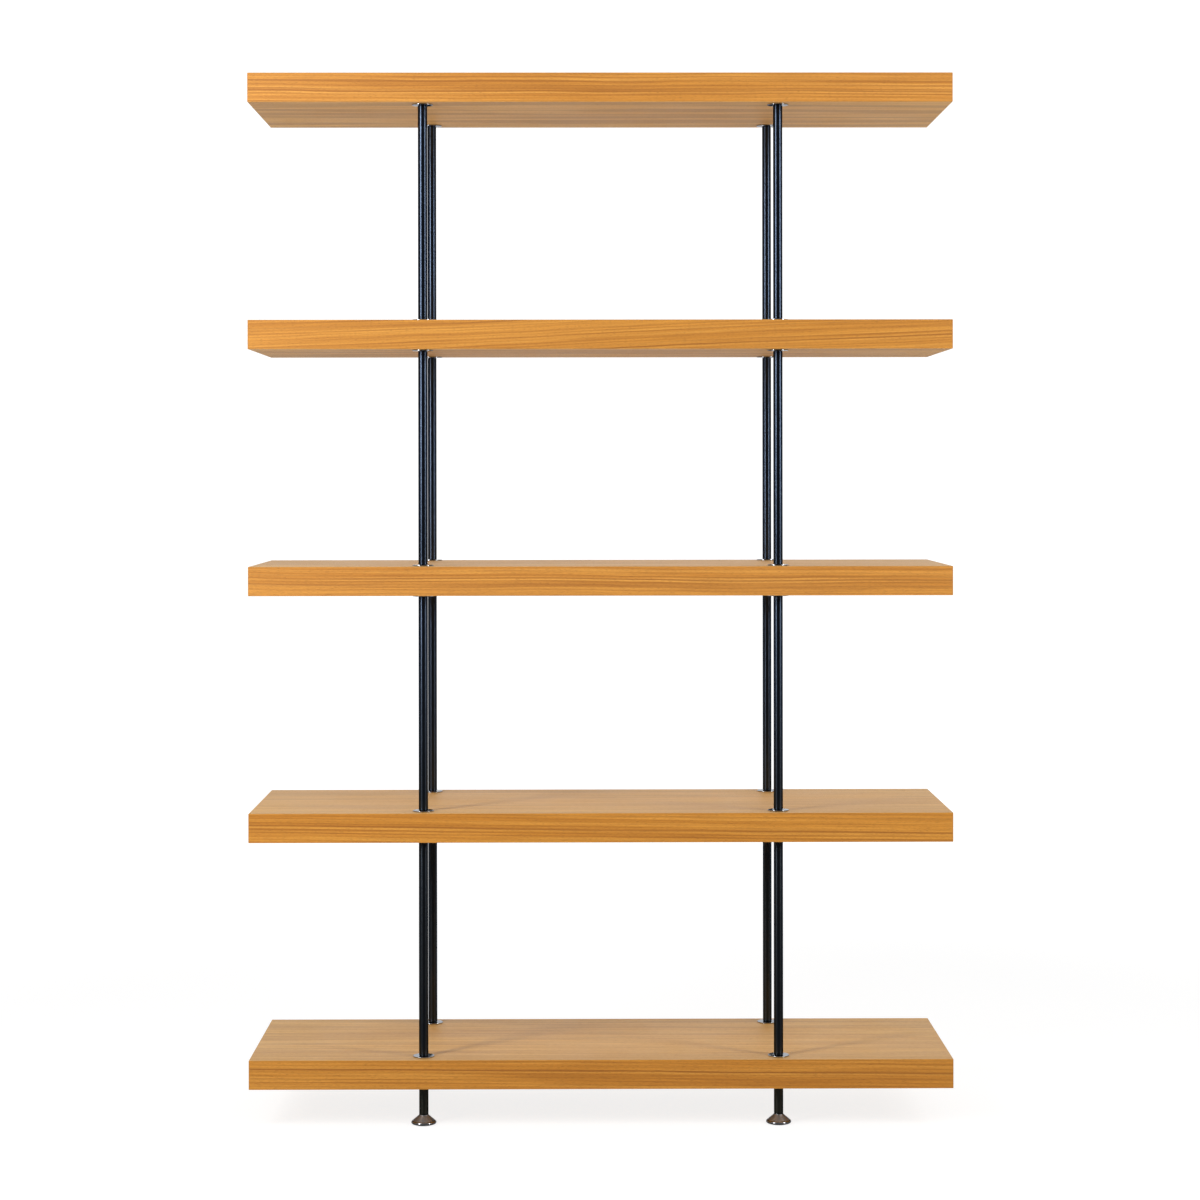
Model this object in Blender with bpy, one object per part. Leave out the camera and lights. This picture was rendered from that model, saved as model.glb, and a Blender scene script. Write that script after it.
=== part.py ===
"""Free-standing bookcase: five thick veneered shelves clamped between screw-together steel posts.

Each post is a stack of round bars. The stud under a rod passes through the ferrule of the shelf
below it and screws into the next bar down, so tightening the rods clamps the shelves. A short leg
ends each post, and a levelling foot screws up into the leg.

Metres, +Z up, front towards -Y. The origin is on the floor, under the middle of the shelves.
"""

import math

import bmesh
import bpy
from mathutils import Matrix

# Shelves
SHELF_COUNT = 5
SHELF_WIDTH = 1.200
SHELF_DEPTH = 0.350
SHELF_THICKNESS = 0.050
BAY_HEIGHT = 0.370  # clear height between two shelves
ARRIS = 0.001  # chamfer along the edges of a shelf

# Posts
POST_OVERHANG = 0.296  # post centre to the end of a shelf
POST_INSET = 0.032  # post centre to the front or back of a shelf
ROD_DIAMETER = 0.0159
ROD_CHAMFER = 0.0008
STUD_DIAMETER = 0.010
STUD_ENGAGEMENT = 0.014  # stud inside the bar below
BORE_RUNOUT = 0.003  # bore left beyond the tip of a stud

# Ferrules of the lower shelves and inserts of the top one
RING_DIAMETER = 0.036
RING_THICKNESS = 0.0015
SLEEVE_DIAMETER = 0.020
TOP_SKIN = 0.020  # wood left above the blind bores of the top shelf

# Legs and levelling feet
LEG_LENGTH = 0.047
FOOT_DIAMETER = 0.043
FOOT_HEIGHT = 0.0165  # floor to the lower end of a leg
COLLAR_STEP = 0.0004  # top of the cap beyond the side of the leg
COLLAR_HEIGHT = 0.0008
RIM_RADIUS = 0.0025  # round edge of the cap
RIM_WIDTH = 0.0045  # metal left round the recess for the pad
STEM_ENGAGEMENT = 0.020  # stem inside the leg, with the foot screwed right in
STEM_HEAD_DIAMETER = 0.018
STEM_HEAD_THICKNESS = 0.004
PAD_THICKNESS = 0.0025
PAD_PROUD = 0.001  # pad below the rim of the cap
PAD_CHAMFER = 0.0005

# Clearance between pieces that touch, and how finely round pieces are cut
FIT_GAP = 0.0003
CUT_OVERRUN = 0.005
BAR_SIDES = 16
FOOT_SIDES = 24
RIM_STEPS = 3
WELD_DISTANCE = 0.000001
SHARP_ANGLE = math.radians(40)

# Worked out from the sizes above
ROD_RADIUS = ROD_DIAMETER / 2
STUD_RADIUS = STUD_DIAMETER / 2
BORE_RADIUS = STUD_RADIUS + FIT_GAP
SEAT_HEIGHT = FIT_GAP + RING_THICKNESS + FIT_GAP  # face of a shelf to the end of a bar
STUD_LENGTH = SEAT_HEIGHT + SHELF_THICKNESS + SEAT_HEIGHT + STUD_ENGAGEMENT
BORE_DEPTH = STUD_ENGAGEMENT + BORE_RUNOUT
ROD_LENGTH = BAY_HEIGHT - 2 * SEAT_HEIGHT
LEG_BOTTOM = FOOT_HEIGHT + FIT_GAP
FIRST_UNDERSIDE = LEG_BOTTOM + LEG_LENGTH + SEAT_HEIGHT
SHELF_PITCH = SHELF_THICKNESS + BAY_HEIGHT
POST_X = SHELF_WIDTH / 2 - POST_OVERHANG
POST_Y = SHELF_DEPTH / 2 - POST_INSET
CORNERS = {
    "front_left": (-POST_X, -POST_Y),
    "front_right": (POST_X, -POST_Y),
    "rear_left": (-POST_X, POST_Y),
    "rear_right": (POST_X, POST_Y),
}


def finish(name, color, roughness, metallic=0.0):
    """Material of one kind of piece."""
    material = bpy.data.materials.new(name)
    material.use_nodes = True
    shader = material.node_tree.nodes["Principled BSDF"]
    shader.inputs["Base Color"].default_value = (*color, 1.0)
    shader.inputs["Roughness"].default_value = roughness
    shader.inputs["Metallic"].default_value = metallic
    material.diffuse_color = (*color, 1.0)
    return material


def place(name, data, parent, location):
    """New object in the scene, at a location under its parent."""
    piece = bpy.data.objects.new(name, data)
    piece.parent = parent
    piece.location = location
    bpy.context.scene.collection.objects.link(piece)
    return piece


def mesh_from(work, name, material=None):
    """Turn a worked shape into a mesh with clean normals."""
    bmesh.ops.recalc_face_normals(work, faces=work.faces)
    mesh = bpy.data.meshes.new(name)
    work.to_mesh(mesh)
    work.free()
    if material:
        mesh.materials.append(material)
    return mesh


def turned(name, outline, sides, material):
    """Mesh turned about Z from (radius, height) points. Off the axis, the outline closes on itself."""
    work = bmesh.new()
    points = [work.verts.new((radius, 0, height)) for radius, height in outline]
    edges = [work.edges.new(pair) for pair in zip(points, points[1:])]
    if outline[0][0] > 0:
        edges.append(work.edges.new((points[-1], points[0])))
    bmesh.ops.spin(
        work,
        geom=points + edges,
        cent=(0, 0, 0),
        axis=(0, 0, 1),
        angle=math.tau,
        steps=sides,
        use_merge=True,
    )
    bmesh.ops.remove_doubles(work, verts=work.verts, dist=WELD_DISTANCE)
    mesh = mesh_from(work, name, material)
    mesh.shade_smooth()
    mesh.set_sharp_from_angle(angle=SHARP_ANGLE)
    return mesh


def arc(centre, radius, start, end, steps):
    """Points of a round stretch of an outline, from one angle to another."""
    angles = [start + (end - start) * step / steps for step in range(steps + 1)]
    return [
        (centre[0] + radius * math.cos(angle), centre[1] + radius * math.sin(angle))
        for angle in angles
    ]


def tangent_angle(point, centre, radius):
    """Angle on a circle where a straight line from a point above it touches its outer side."""
    across = point[0] - centre[0]
    up = point[1] - centre[1]
    return math.atan2(up, across) - math.acos(radius / math.hypot(across, up))


def bar_chamfer():
    """Chamfer on the ends of a bar, limited by the wall round its bore."""
    return min(ROD_CHAMFER, (ROD_RADIUS - BORE_RADIUS) / 2)


def rod_outline():
    """Rod from its stud up. Height 0 is the shoulder that seats on the ring of a ferrule."""
    chamfer = bar_chamfer()
    return [
        (0, -STUD_LENGTH),
        (STUD_RADIUS, -STUD_LENGTH),
        (STUD_RADIUS, 0),
        (ROD_RADIUS - chamfer, 0),
        (ROD_RADIUS, chamfer),
        (ROD_RADIUS, ROD_LENGTH - chamfer),
        (ROD_RADIUS - chamfer, ROD_LENGTH),
        (BORE_RADIUS, ROD_LENGTH),
        (BORE_RADIUS, ROD_LENGTH - BORE_DEPTH),
        (0, ROD_LENGTH - BORE_DEPTH),
    ]


def leg_outline():
    """Leg, bored right through: the stud of a rod from above, the stem of the foot from below."""
    chamfer = bar_chamfer()
    return [
        (BORE_RADIUS, 0),
        (ROD_RADIUS - chamfer, 0),
        (ROD_RADIUS, chamfer),
        (ROD_RADIUS, LEG_LENGTH - chamfer),
        (ROD_RADIUS - chamfer, LEG_LENGTH),
        (BORE_RADIUS, LEG_LENGTH),
    ]


def ferrule_outline():
    """Sleeve through a shelf with a ring on each face. Height 0 is the underside of the shelf."""
    ring_radius = RING_DIAMETER / 2
    sleeve_radius = SLEEVE_DIAMETER / 2
    lower_seat = -FIT_GAP
    upper_seat = SHELF_THICKNESS + FIT_GAP
    return [
        (BORE_RADIUS, lower_seat - RING_THICKNESS),
        (ring_radius, lower_seat - RING_THICKNESS),
        (ring_radius, lower_seat),
        (sleeve_radius, lower_seat),
        (sleeve_radius, upper_seat),
        (ring_radius, upper_seat),
        (ring_radius, upper_seat + RING_THICKNESS),
        (BORE_RADIUS, upper_seat + RING_THICKNESS),
    ]


def insert_outline():
    """Stud, ring and barrel in the top shelf. Height 0 is the underside of the shelf."""
    ring_radius = RING_DIAMETER / 2
    barrel_radius = SLEEVE_DIAMETER / 2
    barrel_top = SHELF_THICKNESS - TOP_SKIN - FIT_GAP
    return [
        (0, -SEAT_HEIGHT - STUD_ENGAGEMENT),
        (STUD_RADIUS, -SEAT_HEIGHT - STUD_ENGAGEMENT),
        (STUD_RADIUS, -FIT_GAP - RING_THICKNESS),
        (ring_radius, -FIT_GAP - RING_THICKNESS),
        (ring_radius, -FIT_GAP),
        (barrel_radius, -FIT_GAP),
        (barrel_radius, barrel_top),
        (0, barrel_top),
    ]


def cap_outline():
    """Turned cone of a foot, hollowed below for the pad and the stem's head. Height 0 is the floor."""
    collar_radius = ROD_RADIUS + COLLAR_STEP
    collar_bottom = (collar_radius, FOOT_HEIGHT - COLLAR_HEIGHT)
    rim_centre = (FOOT_DIAMETER / 2 - RIM_RADIUS, PAD_PROUD + RIM_RADIUS)
    rim_start = tangent_angle(collar_bottom, rim_centre, RIM_RADIUS)
    recess_radius = FOOT_DIAMETER / 2 - RIM_WIDTH
    recess_top = PAD_THICKNESS + FIT_GAP
    head_radius = STEM_HEAD_DIAMETER / 2 + FIT_GAP
    head_top = recess_top + STEM_HEAD_THICKNESS + FIT_GAP
    return [
        (BORE_RADIUS, FOOT_HEIGHT),
        (collar_radius, FOOT_HEIGHT),
        collar_bottom,
        *arc(rim_centre, RIM_RADIUS, rim_start, -math.pi / 2, RIM_STEPS),
        (recess_radius, PAD_PROUD),
        (recess_radius, recess_top),
        (head_radius, recess_top),
        (head_radius, head_top),
        (BORE_RADIUS, head_top),
    ]


def stem_outline():
    """Headed screw that holds a cap up against its leg."""
    head_bottom = PAD_THICKNESS + FIT_GAP
    head_top = head_bottom + STEM_HEAD_THICKNESS
    tip = LEG_BOTTOM + STEM_ENGAGEMENT
    return [
        (0, head_bottom),
        (STEM_HEAD_DIAMETER / 2, head_bottom),
        (STEM_HEAD_DIAMETER / 2, head_top),
        (STUD_RADIUS, head_top),
        (STUD_RADIUS, tip),
        (0, tip),
    ]


def pad_outline():
    """Slip pad pressed into the recess of a cap."""
    pad_radius = FOOT_DIAMETER / 2 - RIM_WIDTH - FIT_GAP
    return [
        (0, 0),
        (pad_radius - PAD_CHAMFER, 0),
        (pad_radius, PAD_CHAMFER),
        (pad_radius, PAD_THICKNESS),
        (0, PAD_THICKNESS),
    ]


def shelf_board(material):
    """Veneered board with its edges eased. Height 0 is its underside."""
    work = bmesh.new()
    board = Matrix.Diagonal((SHELF_WIDTH, SHELF_DEPTH, SHELF_THICKNESS, 1))
    lift = Matrix.Translation((0, 0, SHELF_THICKNESS / 2))
    bmesh.ops.create_cube(work, size=1, matrix=lift @ board)
    bmesh.ops.bevel(
        work, geom=work.edges[:], offset=ARRIS, segments=1, affect="EDGES"
    )
    return mesh_from(work, "shelf", material)


def bore_drills(top):
    """Drills for the four posts, from below a shelf up to a height inside it or past it."""
    work = bmesh.new()
    flat_radius = SLEEVE_DIAMETER / 2 + FIT_GAP
    radius = flat_radius / math.cos(math.pi / BAR_SIDES)
    for x, y in CORNERS.values():
        bmesh.ops.create_cone(
            work,
            cap_ends=True,
            segments=BAR_SIDES,
            radius1=radius,
            radius2=radius,
            depth=top + CUT_OVERRUN,
            matrix=Matrix.Translation((x, y, (top - CUT_OVERRUN) / 2)),
        )
    return mesh_from(work, "bores")


def build_shelf(number, case, veneer):
    """One shelf. The top one is bored blind, so that its upper face stays whole."""
    underside = FIRST_UNDERSIDE + (number - 1) * SHELF_PITCH
    shelf = place(f"shelf_{number}", shelf_board(veneer), case, (0, 0, underside))
    is_top = number == SHELF_COUNT
    bore_top = SHELF_THICKNESS - TOP_SKIN if is_top else SHELF_THICKNESS + CUT_OVERRUN
    drills = place(f"shelf_{number}_bores", bore_drills(bore_top), shelf, (0, 0, 0))
    drills.hide_render = True
    drills.display_type = "WIRE"
    bores = shelf.modifiers.new("post bores", "BOOLEAN")
    bores.operation = "DIFFERENCE"
    bores.solver = "EXACT"
    bores.object = drills


def build_post(corner, case, meshes):
    """Leg, ferrules, rods and top insert of one post, with the foot on its own axis empty."""
    x, y = CORNERS[corner]
    post = place(f"post_{corner}", None, case, (x, y, 0))
    place(f"leg_{corner}", meshes["leg"], post, (0, 0, LEG_BOTTOM))
    for level in range(1, SHELF_COUNT):
        underside = FIRST_UNDERSIDE + (level - 1) * SHELF_PITCH
        shoulder = underside + SHELF_THICKNESS + SEAT_HEIGHT
        place(f"ferrule_{level}_{corner}", meshes["ferrule"], post, (0, 0, underside))
        place(f"rod_{level}_{corner}", meshes["rod"], post, (0, 0, shoulder))
    top_underside = FIRST_UNDERSIDE + (SHELF_COUNT - 1) * SHELF_PITCH
    place(f"insert_{corner}", meshes["insert"], post, (0, 0, top_underside))
    foot = place(f"foot_{corner}", None, post, (0, 0, 0))
    for part in ("cap", "stem", "pad"):
        place(f"foot_{part}_{corner}", meshes[part], foot, (0, 0, 0))


def build_bookcase():
    """Whole bookcase under one empty."""
    veneer = finish("warm oak veneer", (0.57, 0.29, 0.09), 0.42)
    dark_steel = finish("blue-black steel", (0.012, 0.014, 0.020), 0.28, 0.3)
    chrome = finish("chrome", (0.80, 0.80, 0.79), 0.08, 1.0)
    zinc = finish("zinc-plated steel", (0.55, 0.55, 0.53), 0.35, 1.0)
    nylon = finish("black nylon", (0.02, 0.02, 0.02), 0.6)
    meshes = {
        "rod": turned("rod", rod_outline(), BAR_SIDES, dark_steel),
        "leg": turned("leg", leg_outline(), BAR_SIDES, dark_steel),
        "ferrule": turned("ferrule", ferrule_outline(), BAR_SIDES, chrome),
        "insert": turned("insert", insert_outline(), BAR_SIDES, chrome),
        "cap": turned("cap", cap_outline(), FOOT_SIDES, chrome),
        "stem": turned("stem", stem_outline(), BAR_SIDES, zinc),
        "pad": turned("pad", pad_outline(), FOOT_SIDES, nylon),
    }
    case = place("bookcase", None, None, (0, 0, 0))
    for number in range(1, SHELF_COUNT + 1):
        build_shelf(number, case, veneer)
    for corner in CORNERS:
        build_post(corner, case, meshes)


for leftover in bpy.data.objects[:]:
    bpy.data.objects.remove(leftover)
build_bookcase()
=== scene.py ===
"""Looks of the bookcase: veneered shelves on screw-together posts of blued steel, on chrome feet."""

import math

import bmesh
import bpy
from mathutils import Matrix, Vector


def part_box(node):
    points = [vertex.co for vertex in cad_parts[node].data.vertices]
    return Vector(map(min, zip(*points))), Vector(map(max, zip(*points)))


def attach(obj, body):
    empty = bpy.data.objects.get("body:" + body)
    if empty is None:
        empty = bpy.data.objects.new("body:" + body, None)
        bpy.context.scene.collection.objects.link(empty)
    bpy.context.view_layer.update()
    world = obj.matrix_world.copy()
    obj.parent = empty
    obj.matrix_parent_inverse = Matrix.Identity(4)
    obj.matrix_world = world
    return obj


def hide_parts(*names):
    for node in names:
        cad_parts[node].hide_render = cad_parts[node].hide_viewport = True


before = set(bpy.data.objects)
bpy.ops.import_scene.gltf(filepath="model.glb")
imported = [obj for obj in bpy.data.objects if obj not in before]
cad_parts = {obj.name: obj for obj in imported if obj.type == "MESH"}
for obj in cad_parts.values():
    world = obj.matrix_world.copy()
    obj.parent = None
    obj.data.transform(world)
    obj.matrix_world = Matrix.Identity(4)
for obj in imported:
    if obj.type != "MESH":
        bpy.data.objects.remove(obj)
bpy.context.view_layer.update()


# Shelves
# Five thick boards, faced on every side with a straight-grained veneer that runs along their length.
# The veneer is satin lacquered, its edges are eased, and each board is drilled for the four posts.

SHELVES = sorted(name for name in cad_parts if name.startswith("shelf_"))
ARRIS = 0.001
ARRIS_STEPS = 3
ARRIS_PROFILE = 0.5  # round
BAND_THICKNESS = 0.0012  # end bands of veneer, seen as a fine line near the ends of a shelf
GLUE_LINE = 0.0005
BORE_SIDES = 48
BORE_OVERRUN = 0.005
TOP_SKIN = 0.020  # wood left above the blind bores of the top shelf
SLEEVE_RADIUS = 0.010
SLEEVE_GAP = 0.0003

rod_low, rod_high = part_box("rod_1_front_right")
POST_X = (rod_low.x + rod_high.x) / 2
POST_Y = -(rod_low.y + rod_high.y) / 2

PALE = (0.820, 0.390, 0.070, 1)
HONEY = (0.730, 0.316, 0.046, 1)
AMBER = (0.630, 0.254, 0.031, 1)
LATE_WOOD = (0.300, 0.096, 0.010, 1)
PORE_BROWN = (0.210, 0.070, 0.012, 1)
GLUE_BROWN = (0.300, 0.110, 0.022, 1)
FLAT_TINT_AND_PAINTED_SHEEN = (1.09, 1.50, 3.09, 1)  # the wide faces are a paler veneer than the edges, and this tint also paints in the sheen of grazing light
UNDER_PAINTED_LIGHT_TINT = (1.23, 1.21, 1.17, 1)  # and the undersides are paler still, between darker bands: this paleness is painted light from the floor below
LACQUER_ROUGHNESS = 0.53
LACQUER_IOR = 1.48

# Leaf of veneer on each shelf, from the bottom one up: where it was cut from the flitch, how its lines
# slant against the edge and how far they wander, in metres, how high its one strong vein lies above the
# middle of the board, in metres, and how light and how deep its colour is.
LEAVES = (
    {"Leaf": 9.0, "Slant": 0.010, "Wave": 0.0030, "Vein": 0.0040, "Tone": 0.92, "Depth": 1.02},
    {"Leaf": 2.0, "Slant": 0.012, "Wave": 0.0030, "Vein": -0.0030, "Tone": 0.94, "Depth": 1.02},
    {"Leaf": 3.0, "Slant": 0.009, "Wave": 0.0050, "Vein": 0.0044, "Tone": 0.95, "Depth": 1.00},
    {"Leaf": 18.0, "Slant": -0.045, "Wave": 0.0050, "Vein": -0.0260, "Tone": 0.885, "Depth": 1.01},
    {"Leaf": 5.0, "Slant": 0.000, "Wave": 0.0050, "Vein": -0.0070, "Tone": 0.905, "Depth": 1.00},
)

LINE_SPACING = 0.0065
SEED_STEP = 7.3  # from the noise of one leaf to that of the next


def feed(tree, made, inputs):
    """Give some inputs of a node a value, or a link from another node's output."""
    for socket, value in inputs.items():
        if isinstance(value, bpy.types.NodeSocket):
            tree.links.new(value, made.inputs[socket])
        else:
            made.inputs[socket].default_value = value


def node(tree, kind, inputs=None, **settings):
    """New node with its settings and inputs."""
    made = tree.nodes.new(kind)
    for setting, value in settings.items():
        setattr(made, setting, value)
    feed(tree, made, inputs or {})
    return made


def split(tree, vector):
    """X, Y and Z of a vector."""
    return node(tree, "ShaderNodeSeparateXYZ", {0: vector}).outputs


def work_out(tree, operation, *values):
    """Result of a sum on numbers or on other nodes' outputs."""
    return node(tree, "ShaderNodeMath", dict(enumerate(values)), operation=operation).outputs[0]


def times(tree, value, *factors):
    """Product of numbers or other nodes' outputs."""
    for factor in factors:
        value = work_out(tree, "MULTIPLY", value, factor)
    return value


def grade(tree, value, start, end, low=0.0, high=1.0):
    """Value that rises smoothly from low to high as another goes from start to end."""
    inputs = {"Value": value, "From Min": start, "From Max": end, "To Min": low, "To Max": high}
    return node(tree, "ShaderNodeMapRange", inputs, interpolation_type="SMOOTHSTEP").outputs[0]


def lay_over(tree, factor, under, over, blend="MIX"):
    """Colour laid over another one by a factor."""
    inputs = {0: factor, 6: under, 7: over}
    return node(tree, "ShaderNodeMix", inputs, data_type="RGBA", blend_type=blend).outputs[2]


def relief(tree, height, strength, depth):
    """Normal of a surface with a fine relief."""
    inputs = {"Strength": strength, "Distance": depth, "Height": height}
    return node(tree, "ShaderNodeBump", inputs).outputs[0]


def place_on_piece(tree):
    """Place of a point, in metres from the origin of the bookcase."""
    return node(tree, "ShaderNodeTexCoord").outputs["Object"]


def streaks(tree, along, across, seed, rates, detail=2.0):
    """Noise drawn out by its rates along and across."""
    place = {
        0: times(tree, along, rates[0]),
        1: times(tree, across, rates[1]),
        2: times(tree, seed, SEED_STEP),
    }
    place = node(tree, "ShaderNodeCombineXYZ", place).outputs[0]
    inputs = {"Vector": place, "Scale": 1.0, "Detail": detail}
    return node(tree, "ShaderNodeTexNoise", inputs).outputs[0]


def group(name, inputs, outputs):
    """New shader group of numbers, with what it is given and the node that takes its results."""
    tree = bpy.data.node_groups.new(name, "ShaderNodeTree")
    for label in inputs:
        tree.interface.new_socket(label, in_out="INPUT", socket_type="NodeSocketFloat")
    for label in outputs:
        tree.interface.new_socket(label, in_out="OUTPUT", socket_type="NodeSocketFloat")
    return tree, tree.nodes.new("NodeGroupInput").outputs, tree.nodes.new("NodeGroupOutput")


def new_material(name):
    """New material, with its tree and its Principled shader."""
    material = bpy.data.materials.new(name)
    material.use_nodes = True
    return material, material.node_tree, material.node_tree.nodes["Principled BSDF"]


# Faces of a board. A rise, here and below, gives where a value starts and stops rising, and then what
# it rises from and to, unless that is 0 and 1.
FACE_SHARE = 0.6  # a face looks along an axis when more than this of its normal does
FACE_STEPS = (0.17, 0.31, 0.23)  # from one face of a leaf to the next, along X, Y and Z
ARRIS_RISE = (0.0022, 0.0004)


def board_faces_group():
    """Grain direction on each face of a board, and how near its arrises and end bands are."""
    needs = ("Half Width", "Half Depth", "Half Thickness", "Middle Height", "Leaf")
    gives = ("Along", "Across", "Face Leaf", "Flat", "Under", "Arris", "Glue Line")
    tree, given, result = group("Board faces", needs, gives)
    x, y, z = split(tree, place_on_piece(tree))
    facing = split(tree, node(tree, "ShaderNodeNewGeometry").outputs["True Normal"])
    on_end = work_out(tree, "GREATER_THAN", work_out(tree, "ABSOLUTE", facing[0]), FACE_SHARE)
    on_flat = work_out(tree, "GREATER_THAN", work_out(tree, "ABSOLUTE", facing[2]), FACE_SHARE)
    leaf = given["Leaf"]
    for axis, step in zip(facing, FACE_STEPS):
        leaf = work_out(tree, "MULTIPLY_ADD", axis, step, leaf)
    to_end = work_out(tree, "SUBTRACT", given["Half Width"], work_out(tree, "ABSOLUTE", x))
    to_front = work_out(tree, "SUBTRACT", given["Half Depth"], work_out(tree, "ABSOLUTE", y))
    height = work_out(tree, "ABSOLUTE", work_out(tree, "SUBTRACT", z, given["Middle Height"]))
    to_flat = work_out(tree, "SUBTRACT", given["Half Thickness"], height)
    nearer = work_out(tree, "MINIMUM", to_end, to_front)
    farther = work_out(tree, "MAXIMUM", to_end, to_front)
    to_arris = work_out(tree, "MAXIMUM", nearer, work_out(tree, "MINIMUM", farther, to_flat))
    from_band = work_out(tree, "ABSOLUTE", work_out(tree, "SUBTRACT", to_end, BAND_THICKNESS))
    inputs = {
        "Along": work_out(tree, "MULTIPLY_ADD", on_end, work_out(tree, "SUBTRACT", y, x), x),
        "Across": work_out(tree, "MULTIPLY_ADD", on_flat, work_out(tree, "SUBTRACT", y, z), z),
        "Face Leaf": leaf,
        "Flat": on_flat,
        "Under": work_out(tree, "LESS_THAN", facing[2], -FACE_SHARE),
        "Arris": grade(tree, to_arris, *ARRIS_RISE),
        "Glue Line": grade(tree, from_band, GLUE_LINE, 0.0),
    }
    feed(tree, result, inputs)
    return tree


# Grain. Rates are waves per metre, along the grain and across it.
LEAF_STEP = 13.7  # metres of wood from one leaf to the next
RING_STEP = 17.0
NOISE_MIDDLE = 0.5
SWAYS = (
    {"rates": (1.3, 6.0), "reach": 4.0},  # reach in shares of the leaf's wave
    {"rates": (7.0, 40.0), "reach": 0.60},
)
UNEVEN_RATES = (1.0, 60.0)
UNEVEN_REACH = 1.6  # in line spacings
LINE_STRENGTH_RISE = (0.0, 1.0, 0.30, 1.0)
LINE_FADE_RATES = (3.0, 5.3)
LINE_FADE_RISE = (0.3, 0.65, 0.45, 1.0)
LINE_FRONT_RISE = (0.40, 0.86)  # a growth line darkens slowly and ends at once
LINE_BACK_RISE = (1.0, 0.92)
STREAK_RATES = (2.2, 290.0)
FIBRE_RATES = (11.0, 640.0)
PORE_RATES = (150.0, 2300.0)
PORE_RISE = (0.60, 0.72)
CLOUD_RATES = (1.6, 26.0)
VEIN_FADE_RATES = (4.0, 1.0)
VEIN_FADE_RISE = (0.35, 0.60, 0.55, 1.0)
VEIN_RISES = {  # at the upper and the lower side of each stripe of the vein, in metres
    "Dark Vein": ((0.0030, 0.0006), (-0.0010, 0.0)),
    "Pale Vein": ((-0.0006, -0.0014), (-0.0034, -0.0024)),
}


def grain_group():
    """Growth lines, fibres, pores and clouds of one leaf of veneer, from places along and across it."""
    needs = ("Along", "Across", "Leaf", "Slant", "Wave", "Line Spacing", "Vein")
    gives = ("Line", "Streak", "Fibre", "Pore", "Cloud", "Dark Vein", "Pale Vein")
    tree, given, result = group("Veneer grain", needs, gives)
    leaf = given["Leaf"]
    along = work_out(tree, "MULTIPLY_ADD", leaf, LEAF_STEP, given["Along"])
    across = work_out(tree, "MULTIPLY_ADD", given["Along"], given["Slant"], given["Across"])
    for sway in SWAYS:
        aside = streaks(tree, along, across, leaf, sway["rates"])
        aside = work_out(tree, "SUBTRACT", aside, NOISE_MIDDLE)
        aside = times(tree, aside, times(tree, given["Wave"], sway["reach"]))
        across = work_out(tree, "ADD", across, aside)
    uneven = streaks(tree, 0.0, across, leaf, UNEVEN_RATES, detail=1.0)
    rings = work_out(tree, "DIVIDE", across, given["Line Spacing"])
    rings = work_out(tree, "MULTIPLY_ADD", uneven, UNEVEN_REACH, rings)
    part = work_out(tree, "FRACT", rings)
    ring = work_out(tree, "MULTIPLY_ADD", leaf, RING_STEP, work_out(tree, "FLOOR", rings))
    strength = node(tree, "ShaderNodeTexWhiteNoise", {"W": ring}, noise_dimensions="1D").outputs[0]
    strength = grade(tree, strength, *LINE_STRENGTH_RISE)
    fade = grade(tree, streaks(tree, along, ring, leaf, LINE_FADE_RATES), *LINE_FADE_RISE)
    line = times(tree, grade(tree, part, *LINE_FRONT_RISE), grade(tree, part, *LINE_BACK_RISE))
    pores = streaks(tree, along, across, leaf, PORE_RATES, detail=0.0)
    inputs = {
        "Line": times(tree, line, times(tree, strength, fade)),
        "Streak": streaks(tree, along, across, leaf, STREAK_RATES, detail=1.0),
        "Fibre": streaks(tree, along, across, leaf, FIBRE_RATES, detail=3.0),
        "Pore": grade(tree, pores, *PORE_RISE),
        "Cloud": streaks(tree, along, across, leaf, CLOUD_RATES),
    }
    above = work_out(tree, "SUBTRACT", across, given["Vein"])
    here = grade(tree, streaks(tree, along, 0.0, leaf, VEIN_FADE_RATES), *VEIN_FADE_RISE)
    for stripe, (upper, lower) in VEIN_RISES.items():
        inputs[stripe] = times(tree, grade(tree, above, *upper), grade(tree, above, *lower), here)
    feed(tree, result, inputs)
    return tree


SMUDGE_DETAIL = 4.0
SMUDGE_BREAK_UP = 0.6
SMUDGE_RISE = (0.35, 0.70)


def smudges_group():
    """Uneven gloss left by wiping and handling."""
    tree, given, result = group("Smudges", ("Rate",), ("Smudge",))
    inputs = {
        "Vector": place_on_piece(tree),
        "Scale": given["Rate"],
        "Detail": SMUDGE_DETAIL,
        "Roughness": SMUDGE_BREAK_UP,
    }
    blots = node(tree, "ShaderNodeTexNoise", inputs).outputs[0]
    feed(tree, result, {"Smudge": grade(tree, blots, *SMUDGE_RISE)})
    return tree


BOARD_FACES = board_faces_group()
VENEER_GRAIN = grain_group()
SMUDGES = smudges_group()


def smudges(tree, rate):
    """Mask of uneven gloss, with so many blots to the metre."""
    return node(tree, "ShaderNodeGroup", {"Rate": rate}, node_tree=SMUDGES).outputs["Smudge"]


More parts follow.
